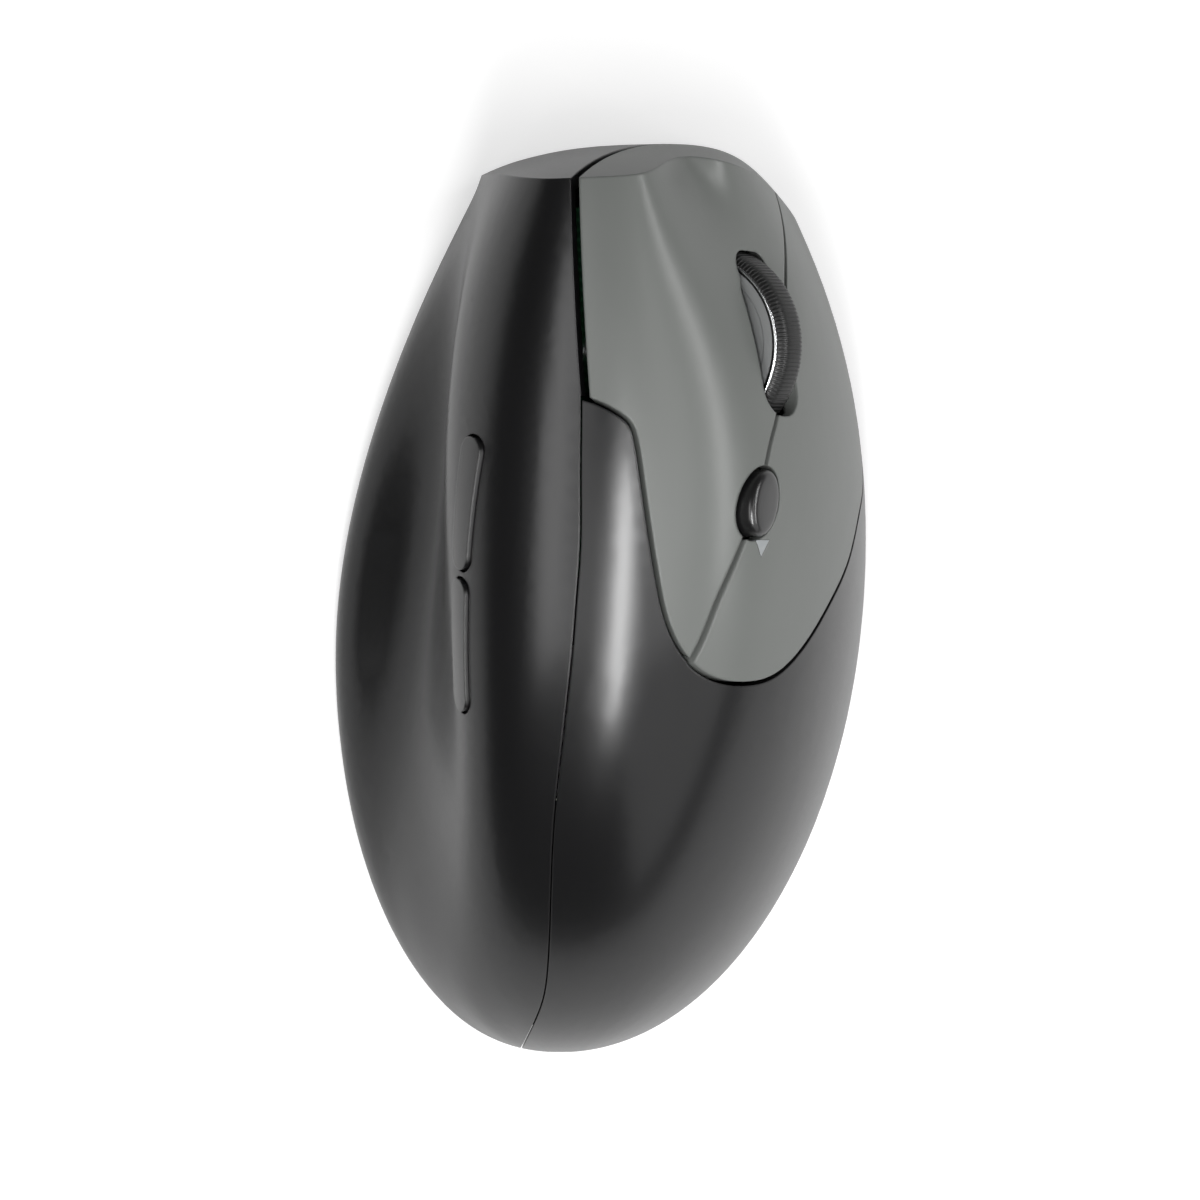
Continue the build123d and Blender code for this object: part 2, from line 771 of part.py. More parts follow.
with BuildPart() as wheel_yoke:
    add(yoke_arm(-arm_place - arm_thickness))
    add(yoke_arm(arm_place))
    add(slab(finger, bar_low, bar_low + bar_height, (0, bar_forward), (2 * arm_place, bar_width)))
    for place in (-arm_place - arm_thickness - trunnion_length, arm_place + arm_thickness):
        with BuildSketch(across(place)):
            with Locations((yoke_back, yoke_level)):
                Circle(trunnion_diameter / 2)
        extrude(amount=trunnion_length)
finish(wheel_yoke, "wheel_yoke")

# Inner frame: a sloping plate on two legs, with lugs for the hinge pin and the yoke
frame_start = -16.4
frame_end = 21.6
frame_back = -39.1
frame_front = 17.9
frame_top = board_level - board_thickness
frame_low = frame_top - frame_thickness
wheel_well = (8.4, 21.6)
leg_thickness = 2.0
foot_length = 6.0
foot_height = 2.0
foot_width = 14.4
foot_gap = 0.2
foot_screw_insets = (3.5, 11.0)
screw_diameter = 2.0
board_hole_places = ((-14.2, -27.1), (18.6, -27.1), (-14.2, -0.4), (19.1, 15.0))


foot_start = cell_x + bay_width / 2 + bay_wall + foot_gap
foot_end = foot_start + foot_width
foot_screws = [foot_start + inset for inset in foot_screw_insets]
leg_places = (wheel_centre.Y + frame_back + leg_thickness, wheel_centre.Y + frame_front - leg_thickness)
foot_screw_places = [(x, y - leg_thickness - foot_length / 3) for x in foot_screws for y in leg_places]


def frame_point(across_place, out_place):
    """World x and z of a point of the finger frame, for outlines in a lengthwise view."""
    point = finger.from_local_coords((across_place, 0, out_place))
    return (point.X, point.Z)


def leg(y):
    """Upright web from the base plate up to the sloping plate."""
    low_end = frame_point(frame_end, frame_low + frame_thickness / 4)
    high_end = frame_point(frame_start, frame_low + frame_thickness / 4)
    with BuildPart() as web:
        with BuildSketch(Plane.XZ.offset(-y)):
            with BuildLine():
                Polyline(low_end, (low_end[0], base_top), (foot_start, base_top), (foot_start, low_end[1]),
                         (high_end[0], high_end[1] - foot_length), high_end, close=True)
            make_face()
        extrude(amount=leg_thickness)
    return web.part


with BuildPart() as inner_frame:
    add(slab(finger, frame_low, frame_top, ((frame_start + frame_end) / 2, (frame_back + frame_front) / 2),
             (frame_end - frame_start, frame_front - frame_back)))
    for y in leg_places:
        add(leg(y))
        add(slab(Plane.XY, base_top, base_top + foot_height, ((foot_start + foot_end) / 2, y - foot_length / 2),
                 (foot_end - foot_start, foot_length)))
    add(rods(Plane.XY, base_top, base_top + foot_height, foot_screw_places, screw_diameter), mode=Mode.SUBTRACT)
    add(slab(finger, frame_low - wheel_radius, frame_top, (0, 0), wheel_well), mode=Mode.SUBTRACT)
    add(lug_shape(frame_lugs, frame_low + frame_thickness / 2, hinge_level))
    for place in (-arm_place - arm_thickness - yoke_lug_gap - yoke_lug_width, arm_place + arm_thickness + yoke_lug_gap):
        with BuildSketch(across(place)):
            with Locations((yoke_back, yoke_level)):
                Circle(yoke_lug_length / 2)
            with Locations((yoke_back, (frame_top + yoke_level) / 2)):
                Rectangle(yoke_lug_length, yoke_level - frame_top)
            with Locations((yoke_back, yoke_level)):
                Circle(trunnion_diameter / 2 + pin_fit, mode=Mode.SUBTRACT)
        extrude(amount=yoke_lug_width)
    add(rods(finger, frame_low, frame_top, board_hole_places, screw_diameter), mode=Mode.SUBTRACT)
finish(inner_frame, "inner_frame")

# Sloping switch board with its switches, lamp, light gate and plug
board_back = -30.1
lamp_diameter = 3.0
case_size = (5.8, 12.8)
plunger_size = (1.2, 2.6)
plunger_depth = 2.0
plunger_travel = 0.8
tact_plunger_diameter = 2.4
tact_plunger_depth = 1.2
gate_width = 0.75
gate_gap = 0.2
gate_size = 3.0
gate_height = 4.4
plug_place = (18.6, -12.1)
plug_size = (4.0, 10.0)
plug_height = 3.0
yoke_lug_notch = 0.3
switch_shift = -3.2

with BuildPart() as switch_board:
    add(slab(finger, frame_top, board_level, ((frame_start + frame_end) / 2, (board_back + frame_front) / 2),
             (frame_end - frame_start, frame_front - board_back)))
    add(slab(finger, frame_top, board_level, (0, 0), wheel_well), mode=Mode.SUBTRACT)
    for place in (-arm_place - arm_thickness - yoke_lug_gap - yoke_lug_width / 2,
                  arm_place + arm_thickness + yoke_lug_gap + yoke_lug_width / 2):
        add(slab(finger, frame_top, board_level, (place, yoke_back),
                 (yoke_lug_width + 2 * yoke_lug_notch, yoke_lug_length + 2 * yoke_lug_notch)), mode=Mode.SUBTRACT)
    add(rods(finger, frame_top, board_level, board_hole_places, screw_diameter), mode=Mode.SUBTRACT)
finish(switch_board, "switch_board")


def micro_switch(name, place):
    """Snap switch under a main button: a case with a slot and the plunger in it."""
    plunger_at = (place, switch_forward)
    case_top = board_level + switch_case_height
    with BuildPart() as case:
        add(slab(finger, board_level, case_top, (place, switch_forward + switch_shift), case_size))
        slot = (plunger_size[0] + 2 * pin_fit, plunger_size[1] + 2 * pin_fit)
        add(slab(finger, case_top - plunger_depth - plunger_travel, case_top, plunger_at, slot), mode=Mode.SUBTRACT)
    finish(case, f"{name}_switch_case")
    with BuildPart() as plunger:
        add(slab(finger, case_top - plunger_depth, switch_top, plunger_at, plunger_size))
    finish(plunger, f"{name}_switch_plunger")


def tact_switch(name, plane, level, place):
    """Square push switch: a case with a round hole and the plunger in it."""
    case_top = level + tact_height
    with BuildPart() as case:
        add(slab(plane, level, case_top, place, (tact_size, tact_size)))
        add(rods(plane, case_top - tact_plunger_depth - plunger_travel, case_top, (place,),
                 tact_plunger_diameter + 2 * pin_fit), mode=Mode.SUBTRACT)
    finish(case, f"{name}_switch_case")
    with BuildPart() as plunger:
        add(rods(plane, case_top - tact_plunger_depth, case_top + tact_rise, (place,), tact_plunger_diameter))
    finish(plunger, f"{name}_switch_plunger")


micro_switch("left", left_switch_across)
micro_switch("right", right_switch_across)
tact_switch("middle", finger, board_level, (0, bar_forward))
tact_switch("dpi", finger, board_level, dpi_tact_place)
tact_switch("forward", side, -side_board_drop, (side_button_pitch / 2, 0))
tact_switch("back", side, -side_board_drop, (-side_button_pitch / 2, 0))

with BuildPart() as status_led:
    add(rods(finger, board_level, board_level + lamp_height - lamp_diameter / 2, (window_place,), lamp_diameter))
    with Locations(finger.from_local_coords((*window_place, board_level + lamp_height - lamp_diameter / 2))):
        Sphere(lamp_diameter / 2)
finish(status_led, "status_led")

for name, place, low in (("scroll_emitter", (wheel_well[0] - gate_width) / 2, frame_top),
                         ("scroll_detector", disc_place + disc_thickness + gate_gap + gate_width / 2, board_level)):
    with BuildPart() as gate:
        add(slab(finger, low, board_level + gate_height, (place, 0), (gate_width, gate_size)))
    finish(gate, name)

with BuildPart() as slope_plug:
    add(slab(finger, board_level, board_level + plug_height, plug_place, plug_size))
finish(slope_plug, "slope_plug")

# Side board behind the thumb buttons, with its plug
side_board_size = (50.0, 8.6)
side_board_thickness = 1.2
side_plug_place = (14.5, 2.0)
side_plug_size = (5.0, 4.0)
side_plug_height = 2.0

with BuildPart() as side_board:
    add(slab(side, -side_board_drop - side_board_thickness, -side_board_drop, (0, 0), side_board_size))
    add(rods(side, -side_board_drop - side_board_thickness, -side_board_drop, thumb_board_posts, screw_diameter),
        mode=Mode.SUBTRACT)
finish(side_board, "side_board")

with BuildPart() as side_plug:
    add(slab(side, -side_board_drop - side_board_thickness - side_plug_height,
             -side_board_drop - side_board_thickness, side_plug_place, side_plug_size))
finish(side_plug, "side_plug")

# Base plate with its screw holes, battery bay, sensor aperture and seats for the glides
door_thickness = 1.6
door_barrel = 2.1
door_gap = 0.2
door_rib = 0.65
door_rib_width = 1.2
door_pin_length = 1.2
door_pin_diameter = 1.2
notch_diameter = 9.0
case_screw_head = 4.4
case_screw_seat = 1.2
case_screw_length = 9.4
glide_recess = 0.3
glide_round = 2.2
glide_kinds = (
    ("front_glide", ((0.05, 0.425),), (20.0, 4.5)),
    ("rear_glide", ((-0.13, -0.415),), (15.0, 4.5)),
    ("side_glides", ((-0.385, 0.065), (0.385, 0.065)), (4.5, 15.0)),
)
aperture_size = (8.0, 7.0)
aperture_round = 0.8
main_board_lift = 2.4
main_board_gap = 2.5
main_board_clear = 1.0
main_board_width = 18.5
sensor_inset = (7.4, 9.1)
screw_insets = ((2.7, 3.0), (15.8, 2.8))
standoff_diameter = 4.4
knob_inset = (14.0, 8.0)
knob_size = (3.0, 5.0)
knob_travel = 3.0
knob_low = 0.5
knob_gap = 0.2
knob_stem = 1.4

board_low = base_top + main_board_lift
board_high = board_low + board_thickness
barrel_z = glide_stand + door_barrel / 2
barrel_y = cell_y + bay_length / 2 - door_gap - door_barrel / 2
door_width = bay_width - 2 * door_gap
main_board_start = foot_start + main_board_gap
main_board_end = main_board_start + main_board_width
main_board_back = leg_places[0] + main_board_clear
main_board_front = leg_places[1] - foot_length - main_board_clear
sensor_place = (main_board_start + sensor_inset[0], main_board_back + sensor_inset[1])
knob_place = (main_board_start + knob_inset[0], main_board_front - knob_inset[1])
main_board_screws = (
    (main_board_start + screw_insets[0][0], main_board_front - screw_insets[0][1]),
    (main_board_start + screw_insets[1][0], main_board_back + screw_insets[1][1]),
)


def base_rods(low, high, places, diameter):
    """Round posts or holes square to the base."""
    return rods(Plane.XY, low, high, places, diameter)


def glides(shares, size, low, high):
    """Glides of one size between two levels."""
    with BuildPart() as group:
        for place in sized(shares):
            add(slab(Plane.XY, low, high, place, size, glide_round))
    return group


with BuildPart() as base_plate:
    add(body_block(wall + fit_gap))
    add(above(glide_stand, base_thickness), mode=Mode.INTERSECT)
    side_wall_x = (bay_width + bay_wall) / 2
    end_wall_y = (bay_length + bay_wall) / 2
    for x in (-side_wall_x, side_wall_x):
        add(slab(Plane.XY, base_top, base_top + bay_height, (cell_x + x, cell_y), (bay_wall, bay_length)))
    for y in (-end_wall_y, end_wall_y):
        add(slab(Plane.XY, base_top, base_top + bay_end_height, (cell_x, cell_y + y),
                 (bay_width + 2 * bay_wall, bay_wall)))
    add(base_rods(base_top, board_low, main_board_screws, standoff_diameter))
    add(slab(Plane.XY, glide_stand, base_top, (cell_x, cell_y), (bay_width, bay_length)), mode=Mode.SUBTRACT)
    for x in (-1, 1):
        with BuildSketch(Plane.YZ.offset(cell_x + x * bay_width / 2)):
            with Locations((barrel_y, barrel_z)):
                Circle(door_pin_diameter / 2 + pin_fit)
        extrude(amount=x * door_pin_length, mode=Mode.SUBTRACT)
    add(base_rods(glide_stand, glide_stand + door_thickness / 2, ((cell_x, cell_y - bay_length / 2),),
                  notch_diameter), mode=Mode.SUBTRACT)
    add(base_rods(glide_stand, base_top, sized(case_boss_shares), pilot_diameter + 2 * pin_fit), mode=Mode.SUBTRACT)
    add(base_rods(glide_stand, glide_stand + case_screw_seat, sized(case_boss_shares),
                  case_screw_head + 2 * fit_gap), mode=Mode.SUBTRACT)
    add(base_rods(base_top - base_thickness / 2, base_top, foot_screw_places, screw_diameter), mode=Mode.SUBTRACT)
    add(base_rods(base_top, board_low, main_board_screws, screw_diameter), mode=Mode.SUBTRACT)
    for name, shares, size in glide_kinds:
        add(glides(shares, size, glide_stand, glide_stand + glide_recess).part, mode=Mode.SUBTRACT)
    add(slab(Plane.XY, glide_stand, base_top, sensor_place, aperture_size, aperture_round), mode=Mode.SUBTRACT)
    add(slab(Plane.XY, glide_stand, base_top, knob_place,
             (knob_size[0] + 2 * knob_gap, knob_size[1] + knob_travel + 2 * knob_gap)), mode=Mode.SUBTRACT)
finish(base_plate, "base_plate")

for name, shares, size in glide_kinds:
    finish(glides(shares, size, 0, glide_stand + glide_recess), name)

# Battery door: a plate that swings on a barrel at its nose end
with BuildPart() as battery_door:
    door_back = cell_y - bay_length / 2 + door_gap
    add(slab(Plane.XY, glide_stand, glide_stand + door_thickness, (cell_x, (door_back + barrel_y) / 2),
             (door_width, barrel_y - door_back)))
    with BuildSketch(Plane.YZ.offset(cell_x - door_width / 2)):
        with Locations((barrel_y, barrel_z)):
            Circle(door_barrel / 2)
    extrude(amount=door_width)
    with BuildSketch(Plane.YZ.offset(cell_x - door_width / 2 - door_pin_length)):
        with Locations((barrel_y, barrel_z)):
            Circle(door_pin_diameter / 2)
    extrude(amount=door_width + 2 * door_pin_length)
    for y in (-cell_length / 4, cell_length / 4):
        add(slab(Plane.XY, glide_stand + door_thickness, glide_stand + door_thickness + door_rib,
                 (cell_x, cell_y + y), (door_width / 2, door_rib_width)))
finish(battery_door, "battery_door")

# Battery and its contacts
cell_button_diameter = 5.5
cell_button_height = 1.0

with BuildPart() as battery:
    with BuildSketch(Plane.XZ.offset(-(cell_y - cell_length / 2))):
        with Locations((cell_x, cell_z)):
            Circle(cell_diameter / 2)
    extrude(amount=-(cell_length - cell_button_height))
    with BuildSketch(Plane.XZ.offset(-(cell_y + cell_length / 2))):
        with Locations((cell_x, cell_z)):
            Circle(cell_button_diameter / 2)
    extrude(amount=cell_button_height)
finish(battery, "battery")

for name, end in (("rear_contact", -1), ("front_contact", 1)):
    with BuildPart() as contact:
        face_y = cell_y + end * (cell_length / 2 + contact_bump)
        with BuildSketch(Plane.XZ.offset(-face_y)):
            with Locations((cell_x, cell_z)):
                Rectangle(*contact_size)
        extrude(amount=-end * contact_thickness)
        with BuildSketch(Plane.XZ.offset(-face_y)):
            with Locations((cell_x, cell_z)):
                Circle(cell_button_diameter / 2)
        extrude(amount=end * contact_bump)
    finish(contact, name)

# Main board with sensor, controller, crystal, capacitors, power switch and plugs
chip_size = (10.0, 12.0)
chip_height = 2.8
lens_lip = 2.0
lens_drop = 0.8
controller_shift = (0.4, 16.0)
controller_size = (7.0, 7.0)
controller_height = 0.9
crystal_shift = (0.4, 23.5)
crystal_size = (5.0, 3.2)
crystal_height = 1.2
capacitor_shifts = ((8.3, -1.0), (8.3, 3.8))
capacitor_diameter = 4.0
capacitor_height = 4.6
base_plug_shift = (8.3, 12.9)
side_plug_shift = (-5.2, 9.9)
side_plug_base_size = (3.4, 5.0)
base_plug_height = 3.0
power_case_size = (4.4, 9.4)
power_case_height = 2.1
groove_width = 1.8
groove_depth = 1.2


def beside_sensor(shift):
    """Place on the main board, counted from the sensor."""
    return (sensor_place[0] + shift[0], sensor_place[1] + shift[1])


base_plug_place = beside_sensor(base_plug_shift)
side_plug_base_place = beside_sensor(side_plug_shift)

with BuildPart() as main_board:
    add(slab(Plane.XY, board_low, board_high,
             ((main_board_start + main_board_end) / 2, (main_board_back + main_board_front) / 2),
             (main_board_end - main_board_start, main_board_front - main_board_back)))
    add(base_rods(board_low, board_high, main_board_screws, screw_diameter), mode=Mode.SUBTRACT)
finish(main_board, "main_board")

with BuildPart() as sensor_chip:
    add(slab(Plane.XY, board_high, board_high + chip_height, sensor_place, chip_size))
finish(sensor_chip, "sensor_chip")

with BuildPart() as sensor_lens:
    add(slab(Plane.XY, base_top, board_low, sensor_place, (aperture_size[0] + lens_lip, aperture_size[1] + lens_lip)))
    add(slab(Plane.XY, base_top - lens_drop, base_top, sensor_place,
             (aperture_size[0] - lens_lip, aperture_size[1] - lens_lip)))
finish(sensor_lens, "sensor_lens")

with BuildPart() as controller_chip:
    add(slab(Plane.XY, board_high, board_high + controller_height, beside_sensor(controller_shift),
             controller_size))
finish(controller_chip, "controller_chip")

with BuildPart() as crystal:
    add(slab(Plane.XY, board_high, board_high + crystal_height, beside_sensor(crystal_shift), crystal_size,
             crystal_size[1] / 3))
finish(crystal, "crystal")

with BuildPart() as capacitors:
    add(base_rods(board_high, board_high + capacitor_height, [beside_sensor(shift) for shift in capacitor_shifts],
                  capacitor_diameter))
finish(capacitors, "capacitors")

with BuildPart() as base_plugs:
    add(slab(Plane.XY, board_high, board_high + base_plug_height, base_plug_place, plug_size))
    add(slab(Plane.XY, board_high, board_high + base_plug_height, side_plug_base_place, side_plug_base_size))
finish(base_plugs, "base_plugs")

with BuildPart() as power_switch:
    add(slab(Plane.XY, board_low - power_case_height, board_low, knob_place, power_case_size))
    add(slab(Plane.XY, board_low - power_case_height, board_low - power_case_height + groove_depth, knob_place,
             (groove_width, knob_travel + knob_stem + 2 * knob_gap)), mode=Mode.SUBTRACT)
finish(power_switch, "power_switch")

with BuildPart() as power_knob:
    knob_at = (knob_place[0], knob_place[1] - knob_travel / 2)
    knob_top = board_low - power_case_height - knob_gap
    add(slab(Plane.XY, knob_low, knob_top, knob_at, knob_size))
    add(base_rods(knob_top, knob_top + groove_depth, (knob_at,), knob_stem))
finish(power_knob, "power_knob")

# Screws
screw_head = 3.6
screw_head_height = 1.3
screw_drive = 0.9
screw_cross = 2.3
screw_drive_depth = 0.6


def screw(block_plane, places, seat, length, head, diameter):
    """Pan head screws whose heads rest on a level of a plane and whose shanks go down from it."""
    with BuildPart() as group:
        add(rods(block_plane, seat - length, seat, places, diameter))
        add(rods(block_plane, seat, seat + screw_head_height, places, head))
        for place in places:
            for size in ((screw_cross, screw_drive), (screw_drive, screw_cross)):
                add(slab(block_plane, seat + screw_head_height - screw_drive_depth, seat + screw_head_height, place,
                         size), mode=Mode.SUBTRACT)
    return group.part


with BuildPart() as case_screws:
    under = Plane(origin=(0, 0, 0), x_dir=(-1, 0, 0), z_dir=(0, 0, -1))
    flipped = [(-x, y) for x, y in sized(case_boss_shares)]
    add(screw(under, flipped, -glide_stand - case_screw_seat, case_screw_length, case_screw_head, pilot_diameter))
finish(case_screws, "case_screws")

with BuildPart() as frame_screws:
    add(screw(Plane.XY, foot_screw_places, base_top + foot_height, foot_height + base_thickness / 2, screw_head,
              screw_diameter))
finish(frame_screws, "frame_screws")

with BuildPart() as board_screws:
    add(screw(finger, board_hole_places, board_level, board_thickness + frame_thickness, screw_head, screw_diameter))
    add(screw(Plane.XY, main_board_screws, board_high, board_thickness + main_board_lift, screw_head,
              screw_diameter))
    inside = Plane(origin=side.origin, x_dir=side.x_dir, z_dir=-side.z_dir)
    mirrored = [(x, -y) for x, y in thumb_board_posts]
    add(screw(inside, mirrored, side_board_drop + side_board_thickness, side_board_thickness + wall, screw_head,
              pilot_diameter / 2))
finish(board_screws, "board_screws")

# Flat cables between the boards, seen lengthwise; their bends are counted from the lower plug's top
cable_thickness = 0.3
board_cable_width = 8.0
side_cable_width = 4.0
cable_lead = 1.2
board_cable_bends = ((0.0, 2.4), (1.2, 6.0), (1.2, 11.0))
side_cable_bends = ((0.0, 3.0), (-4.1, 14.0), (-9.6, 30.0))


def flat_cable(place, bends, ends, width):
    """Flat cable from the top of a plug on the base, over its bends, to an upper plug's face."""
    top = board_high + base_plug_height
    points = [(place[0], top)] + [(place[0] + x, top + z) for x, z in bends] + ends
    with BuildPart() as cable:
        with BuildSketch(Plane.XZ.offset(-(place[1] + width / 2))):
            with BuildLine():
                path = Polyline(*points)
            trace(path, cable_thickness)
        extrude(amount=width)
    return cable


slope_face = plug_place[0] + plug_size[0] / 2
slope_level = board_level + plug_height / 2
slope_ends = [frame_point(slope_face + cable_lead, slope_level), frame_point(slope_face, slope_level)]
board_cable = flat_cable(base_plug_place, board_cable_bends, slope_ends, board_cable_width)
finish(board_cable, "board_cable")

side_face = side_board_drop + side_board_thickness + side_plug_height
side_ends = [side.from_local_coords((*side_plug_place, -level)) for level in (side_face + cable_lead, side_face)]
side_cable = flat_cable(side_plug_base_place, side_cable_bends, [(end.X, end.Z) for end in side_ends],
                        side_cable_width)
finish(side_cable, "side_cable")
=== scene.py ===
import bmesh
import bpy
import math
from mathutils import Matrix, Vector


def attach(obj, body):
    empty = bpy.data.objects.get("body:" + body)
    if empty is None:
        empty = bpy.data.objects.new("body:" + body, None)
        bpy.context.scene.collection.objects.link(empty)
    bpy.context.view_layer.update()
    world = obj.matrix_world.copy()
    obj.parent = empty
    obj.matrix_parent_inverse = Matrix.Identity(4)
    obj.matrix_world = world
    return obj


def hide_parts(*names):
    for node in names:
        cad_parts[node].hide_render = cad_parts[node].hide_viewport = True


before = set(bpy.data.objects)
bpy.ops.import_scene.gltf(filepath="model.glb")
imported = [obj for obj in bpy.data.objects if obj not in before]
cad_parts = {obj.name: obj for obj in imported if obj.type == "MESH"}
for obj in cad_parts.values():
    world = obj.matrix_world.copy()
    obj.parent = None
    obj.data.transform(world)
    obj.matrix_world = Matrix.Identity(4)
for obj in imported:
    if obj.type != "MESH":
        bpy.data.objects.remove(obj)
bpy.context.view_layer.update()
print("frame loaded:", len(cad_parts), "nodes")

noiseMean = 0.5      # what a noise texture swings about
edgeSamples = 6      # rays per point for a soft edge
fineDetail, flowDetail, streakDetail = 3.0, 2.0, 4.0
mixFirst, mixSecond, mixResult = 6, 7, 2      # the colour sockets of a Mix node
white = (1, 1, 1, 1)


# a wire is a socket that takes part in sums
class Wire:
    def __init__(self, finish, socket):
        self.finish = finish
        self.socket = socket

    def sum(self, operation, first, second):
        return self.finish.node("ShaderNodeMath", {"operation": operation}, {0: first, 1: second})

    def __add__(self, other):
        return self.sum("ADD", self, other)

    def __radd__(self, other):
        return self.sum("ADD", other, self)

    def __sub__(self, other):
        return self.sum("SUBTRACT", self, other)

    def __rsub__(self, other):
        return self.sum("SUBTRACT", other, self)

    def __mul__(self, other):
        return self.sum("MULTIPLY", self, other)

    def __rmul__(self, other):
        return self.sum("MULTIPLY", other, self)


# a finish is one material: a principled shader and the nodes that feed it
class Finish:
    def __init__(self, name, sockets):
        self.material = bpy.data.materials.new(name)
        self.material.use_nodes = True
        self.tree = self.material.node_tree
        self.tree.nodes.clear()
        self.shader = self.tree.nodes.new("ShaderNodeBsdfPrincipled")
        self.output = self.tree.nodes.new("ShaderNodeOutputMaterial")
        self.tree.links.new(self.shader.outputs[0], self.output.inputs["Surface"])
        for socket, value in sockets.items():
            self.shader.inputs[socket].default_value = value

    def node(self, kind, settings=None, sockets=None, out=0):
        made = self.tree.nodes.new(kind)
        for key, value in (settings or {}).items():
            setattr(made, key, value)
        for key, value in (sockets or {}).items():
            self.join(value, made.inputs[key])
        return Wire(self, made.outputs[out])

    def join(self, value, socket):
        if isinstance(value, Wire):
            self.tree.links.new(value.socket, socket)
        else:
            socket.default_value = value

    def feed(self, **values):
        names = {"colour": "Base Color", "rough": "Roughness", "normal": "Normal"}
        for key, value in values.items():
            self.join(value, self.shader.inputs[names[key]])

    def place(self, stretch=(1, 1, 1)):
        spot = self.node("ShaderNodeTexCoord", out="Object")
        return self.node("ShaderNodeMapping", {}, {"Vector": spot, "Scale": stretch})

    def grain(self, size, detail=fineDetail, stretch=(1, 1, 1)):
        sockets = {"Vector": self.place(stretch), "Scale": 1 / size, "Detail": detail}
        return self.node("ShaderNodeTexNoise", {}, sockets, "Fac")

    def blend(self, factor, first, second):
        sockets = {"Factor": factor, mixFirst: (*first, 1), mixSecond: (*second, 1)}
        return self.node("ShaderNodeMix", {"data_type": "RGBA"}, sockets, mixResult)

    def bump(self, height, depth, normal=None):
        sockets = {"Height": height, "Distance": depth, "Strength": 1.0}
        if normal:
            sockets["Normal"] = normal
        return self.node("ShaderNodeBump", {}, sockets)

    def softEdge(self, radius):
        return self.node("ShaderNodeBevel", {"samples": edgeSamples}, {"Radius": radius})

    # colour from one pattern, roughness and bump from another, and a soft edge
    def cover(self, look, tone, grain):
        self.feed(
            colour=self.blend(tone, look["dark"], look["light"]),
            rough=look["rough"] + (grain - noiseMean) * look["roughSpread"],
            normal=self.bump(grain, look["grainDepth"], self.softEdge(look["edge"])),
        )
        return self


finishes = {}


# one finish for each look, put on the nodes that wear it
def dress(maker, looks):
    for name, look in looks.items():
        finishes[name] = maker(name, look)
        for node in look["worn"]:
            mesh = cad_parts[node].data
            mesh.materials.clear()
            mesh.materials.append(finishes[name].material)


